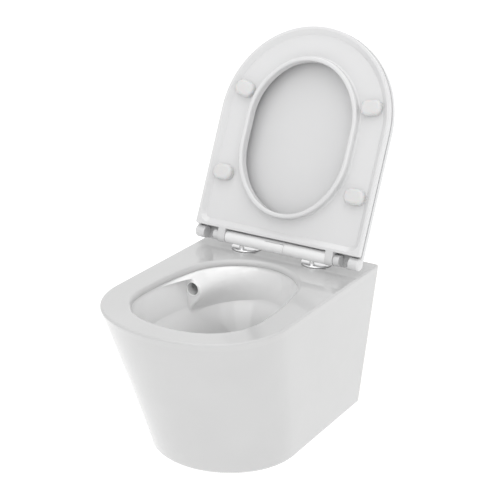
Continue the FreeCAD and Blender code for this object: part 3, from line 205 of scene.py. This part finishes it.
# The seat and the lid: pressed thermoset, hard and glossy, with the faint
# ripple that the tool's polish leaves and a trace of cloud in the white.
for name, tone, ripple in (("seat_ring", 0.675, 0.05), ("lid", 0.655, 0.035)):
    shell = bpy.data.materials.new(name + "_thermoset")
    shell.use_nodes = True
    tree = shell.node_tree
    shader = tree.nodes["Principled BSDF"]
    shader.inputs["Roughness"].default_value = 0.13
    shader.inputs["IOR"].default_value = 1.54
    shader.inputs["Coat Weight"].default_value = 0.5
    shader.inputs["Coat Roughness"].default_value = 0.04
    place = tree.nodes.new("ShaderNodeTexCoord")
    cloud = tree.nodes.new("ShaderNodeTexNoise")
    cloud.inputs["Scale"].default_value = 14
    cloud.inputs["Detail"].default_value = 4
    tree.links.new(place.outputs["Object"], cloud.inputs["Vector"])
    white = tree.nodes.new("ShaderNodeValToRGB")
    white.color_ramp.elements[0].position = 0.35
    white.color_ramp.elements[0].color = (tone - 0.008, tone - 0.008, tone - 0.004, 1)
    white.color_ramp.elements[1].position = 0.65
    white.color_ramp.elements[1].color = (tone, tone, tone + 0.004, 1)
    tree.links.new(cloud.outputs["Fac"], white.inputs["Fac"])
    tree.links.new(white.outputs["Color"], shader.inputs["Base Color"])
    polish = tree.nodes.new("ShaderNodeTexNoise")
    polish.inputs["Scale"].default_value = 60
    polish.inputs["Detail"].default_value = 2
    tree.links.new(place.outputs["Object"], polish.inputs["Vector"])
    swell = tree.nodes.new("ShaderNodeBump")
    swell.inputs["Strength"].default_value = ripple
    swell.inputs["Distance"].default_value = 0.0006
    tree.links.new(polish.outputs["Fac"], swell.inputs["Height"])
    tree.links.new(swell.outputs["Normal"], shader.inputs["Normal"])
    tree.links.new(swell.outputs["Normal"], shader.inputs["Coat Normal"])
    nodes[name].data.materials.clear()
    nodes[name].data.materials.append(shell)


# The soft pads under the seat and the lid: white rubber, satin, with a fine
# moulded grain and a slightly warmer tone than the plastic round them.
rubber = bpy.data.materials.new("pad_rubber")
rubber.use_nodes = True
tree = rubber.node_tree
shader = tree.nodes["Principled BSDF"]
shader.inputs["Roughness"].default_value = 0.38
shader.inputs["Subsurface Weight"].default_value = 0.1
shader.inputs["Subsurface Scale"].default_value = 0.002
place = tree.nodes.new("ShaderNodeTexCoord")
skin = tree.nodes.new("ShaderNodeTexNoise")
skin.inputs["Scale"].default_value = 1500
skin.inputs["Detail"].default_value = 2
tree.links.new(place.outputs["Object"], skin.inputs["Vector"])
pad_tone = tree.nodes.new("ShaderNodeValToRGB")
pad_tone.color_ramp.elements[0].color = (0.62, 0.62, 0.618, 1)
pad_tone.color_ramp.elements[1].color = (0.66, 0.66, 0.657, 1)
tree.links.new(skin.outputs["Fac"], pad_tone.inputs["Fac"])
tree.links.new(pad_tone.outputs["Color"], shader.inputs["Base Color"])
skin_bump = tree.nodes.new("ShaderNodeBump")
skin_bump.inputs["Strength"].default_value = 0.12
skin_bump.inputs["Distance"].default_value = 0.0001
tree.links.new(skin.outputs["Fac"], skin_bump.inputs["Height"])
tree.links.new(skin_bump.outputs["Normal"], shader.inputs["Normal"])
for name in ("seat_buffer_front_left", "seat_buffer_front_right", "seat_buffer_rear_left",
             "seat_buffer_rear_right", "lid_buffer_left", "lid_buffer_right"):
    nodes[name].data.materials.clear()
    nodes[name].data.materials.append(rubber)


# The hinge bar and its button: moulded plastic with an even gloss, whiter than
# the seat as painted light, with a very fine drag grain along the bar.
# The 0.84 tone, lighter than the seat, is painted light.
for name, tone, gloss in (("hinge_bar", 0.84, 0.2), ("release_button", 0.84, 0.16)):
    moulded = bpy.data.materials.new(name + "_plastic")
    moulded.use_nodes = True
    tree = moulded.node_tree
    shader = tree.nodes["Principled BSDF"]
    shader.inputs["Roughness"].default_value = gloss
    shader.inputs["Coat Weight"].default_value = 0.3
    shader.inputs["Coat Roughness"].default_value = 0.08
    place = tree.nodes.new("ShaderNodeTexCoord")
    along = tree.nodes.new("ShaderNodeMapping")
    along.inputs["Scale"].default_value = (20, 900, 900)
    tree.links.new(place.outputs["Object"], along.inputs["Vector"])
    drag = tree.nodes.new("ShaderNodeTexNoise")
    drag.inputs["Scale"].default_value = 1
    drag.inputs["Detail"].default_value = 2
    tree.links.new(along.outputs["Vector"], drag.inputs["Vector"])
    resin_with_painted_light = tree.nodes.new("ShaderNodeValToRGB")
    resin_with_painted_light.color_ramp.elements[0].color = (tone - 0.01, tone - 0.01, tone - 0.008, 1)
    resin_with_painted_light.color_ramp.elements[1].color = (tone, tone, tone + 0.003, 1)
    tree.links.new(drag.outputs["Fac"], resin_with_painted_light.inputs["Fac"])
    tree.links.new(resin_with_painted_light.outputs["Color"], shader.inputs["Base Color"])
    groove = tree.nodes.new("ShaderNodeBump")
    groove.inputs["Strength"].default_value = 0.03
    groove.inputs["Distance"].default_value = 0.0001
    tree.links.new(drag.outputs["Fac"], groove.inputs["Height"])
    tree.links.new(groove.outputs["Normal"], shader.inputs["Normal"])
    nodes[name].data.materials.clear()
    nodes[name].data.materials.append(moulded)


# The two discs on the deck: plated metal, turned on its face, so a fine ring
# grain runs round the post that stands on each.
for name in ("hinge_plate_left", "hinge_plate_right"):
    low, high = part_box(name)
    middle_x = (low[0] + high[0]) / 2
    middle_y = (low[1] + high[1]) / 2
    plated = bpy.data.materials.new(name + "_plating")
    plated.use_nodes = True
    tree = plated.node_tree
    shader = tree.nodes["Principled BSDF"]
    shader.inputs["Metallic"].default_value = 1
    shader.inputs["Roughness"].default_value = 0.3
    place = tree.nodes.new("ShaderNodeTexCoord")
    centred = tree.nodes.new("ShaderNodeMapping")
    centred.inputs["Location"].default_value = (-middle_x, -middle_y, 0)
    tree.links.new(place.outputs["Object"], centred.inputs["Vector"])
    rings = tree.nodes.new("ShaderNodeTexWave")
    rings.wave_type = "RINGS"
    rings.rings_direction = "Z"
    rings.inputs["Scale"].default_value = 500
    rings.inputs["Distortion"].default_value = 0.6
    rings.inputs["Detail"].default_value = 1
    tree.links.new(centred.outputs["Vector"], rings.inputs["Vector"])
    sheen = tree.nodes.new("ShaderNodeValToRGB")
    sheen.color_ramp.elements[0].color = (0.86, 0.86, 0.865, 1)
    sheen.color_ramp.elements[1].color = (0.93, 0.93, 0.935, 1)
    tree.links.new(rings.outputs["Fac"], sheen.inputs["Fac"])
    tree.links.new(sheen.outputs["Color"], shader.inputs["Base Color"])
    turning = tree.nodes.new("ShaderNodeBump")
    turning.inputs["Strength"].default_value = 0.04
    turning.inputs["Distance"].default_value = 0.00005
    tree.links.new(rings.outputs["Fac"], turning.inputs["Height"])
    tree.links.new(turning.outputs["Normal"], shader.inputs["Normal"])
    nodes[name].data.materials.clear()
    nodes[name].data.materials.append(plated)


# Turned and drawn steel: posts, bolts, nuts, washers, shafts and the button's
# spring, each bright with fine scratches; the wire is a shade darker.
steel_tones = {
    "hinge_post_left": (0.9, 0.26), "hinge_post_right": (0.9, 0.26),
    "hinge_bolt_left": (0.66, 0.32), "hinge_bolt_right": (0.66, 0.32),
    "plug_nut_left": (0.62, 0.38), "plug_nut_right": (0.62, 0.38),
    "stud_washer_left": (0.64, 0.36), "stud_washer_right": (0.64, 0.36),
    "seat_shaft": (0.7, 0.22), "lid_shaft": (0.7, 0.22), "button_spring": (0.5, 0.34),
}
for name, (tone, gloss) in steel_tones.items():
    steel = bpy.data.materials.new(name + "_steel")
    steel.use_nodes = True
    tree = steel.node_tree
    shader = tree.nodes["Principled BSDF"]
    shader.inputs["Metallic"].default_value = 1
    place = tree.nodes.new("ShaderNodeTexCoord")
    stretched = tree.nodes.new("ShaderNodeMapping")
    stretched.inputs["Scale"].default_value = (300, 300, 2400)
    tree.links.new(place.outputs["Object"], stretched.inputs["Vector"])
    scratches = tree.nodes.new("ShaderNodeTexNoise")
    scratches.inputs["Scale"].default_value = 1
    scratches.inputs["Detail"].default_value = 3
    tree.links.new(stretched.outputs["Vector"], scratches.inputs["Vector"])
    shine = tree.nodes.new("ShaderNodeValToRGB")
    shine.color_ramp.elements[0].color = (tone - 0.06, tone - 0.06, tone - 0.055, 1)
    shine.color_ramp.elements[1].color = (tone + 0.03, tone + 0.03, tone + 0.035, 1)
    tree.links.new(scratches.outputs["Fac"], shine.inputs["Fac"])
    tree.links.new(shine.outputs["Color"], shader.inputs["Base Color"])
    wear = tree.nodes.new("ShaderNodeMapRange")
    wear.inputs["To Min"].default_value = gloss - 0.06
    wear.inputs["To Max"].default_value = gloss + 0.08
    tree.links.new(scratches.outputs["Fac"], wear.inputs["Value"])
    tree.links.new(wear.outputs["Result"], shader.inputs["Roughness"])
    nodes[name].data.materials.clear()
    nodes[name].data.materials.append(steel)


# Nylon behind the scenes: stud sleeves, plugs, damper barrels, latches and
# bushes, milky and dull with flow marks from the mould.
for name in ("stud_sleeve_left", "stud_sleeve_right", "expansion_plug_left",
             "expansion_plug_right", "seat_damper", "lid_damper", "latch_left", "latch_right",
             "lid_bush", "seat_bush"):
    nylon = bpy.data.materials.new(name + "_nylon")
    nylon.use_nodes = True
    tree = nylon.node_tree
    shader = tree.nodes["Principled BSDF"]
    shader.inputs["Roughness"].default_value = 0.48
    shader.inputs["Subsurface Weight"].default_value = 0.15
    shader.inputs["Subsurface Scale"].default_value = 0.003
    place = tree.nodes.new("ShaderNodeTexCoord")
    flow = tree.nodes.new("ShaderNodeTexNoise")
    flow.inputs["Scale"].default_value = 110
    flow.inputs["Detail"].default_value = 4
    flow.inputs["Distortion"].default_value = 1.2
    tree.links.new(place.outputs["Object"], flow.inputs["Vector"])
    milk = tree.nodes.new("ShaderNodeValToRGB")
    milk.color_ramp.elements[0].position = 0.3
    milk.color_ramp.elements[0].color = (0.68, 0.675, 0.65, 1)
    milk.color_ramp.elements[1].position = 0.7
    milk.color_ramp.elements[1].color = (0.75, 0.745, 0.72, 1)
    tree.links.new(flow.outputs["Fac"], milk.inputs["Fac"])
    tree.links.new(milk.outputs["Color"], shader.inputs["Base Color"])
    marks = tree.nodes.new("ShaderNodeBump")
    marks.inputs["Strength"].default_value = 0.1
    marks.inputs["Distance"].default_value = 0.0001
    tree.links.new(flow.outputs["Fac"], marks.inputs["Height"])
    tree.links.new(marks.outputs["Normal"], shader.inputs["Normal"])
    nodes[name].data.materials.clear()
    nodes[name].data.materials.append(nylon)


# The thin gaskets under the discs: rubber painted dark grey as painted shade,
# which shows only as the fine line between a disc and the deck.
for name in ("plate_gasket_left", "plate_gasket_right"):
    gasket_and_painted_shade = bpy.data.materials.new(name + "_rubber")
    gasket_and_painted_shade.use_nodes = True
    tree = gasket_and_painted_shade.node_tree
    shader = tree.nodes["Principled BSDF"]
    shader.inputs["Roughness"].default_value = 0.7
    place = tree.nodes.new("ShaderNodeTexCoord")
    pores = tree.nodes.new("ShaderNodeTexNoise")
    pores.inputs["Scale"].default_value = 1800
    tree.links.new(place.outputs["Object"], pores.inputs["Vector"])
    # Dark grey: painted shade for the line round each disc.
    painted_shade_grey = tree.nodes.new("ShaderNodeValToRGB")
    painted_shade_grey.color_ramp.elements[0].color = (0.06, 0.06, 0.06, 1)
    painted_shade_grey.color_ramp.elements[1].color = (0.12, 0.12, 0.12, 1)
    tree.links.new(pores.outputs["Fac"], painted_shade_grey.inputs["Fac"])
    tree.links.new(painted_shade_grey.outputs["Color"], shader.inputs["Base Color"])
    nodes[name].data.materials.clear()
    nodes[name].data.materials.append(gasket_and_painted_shade)
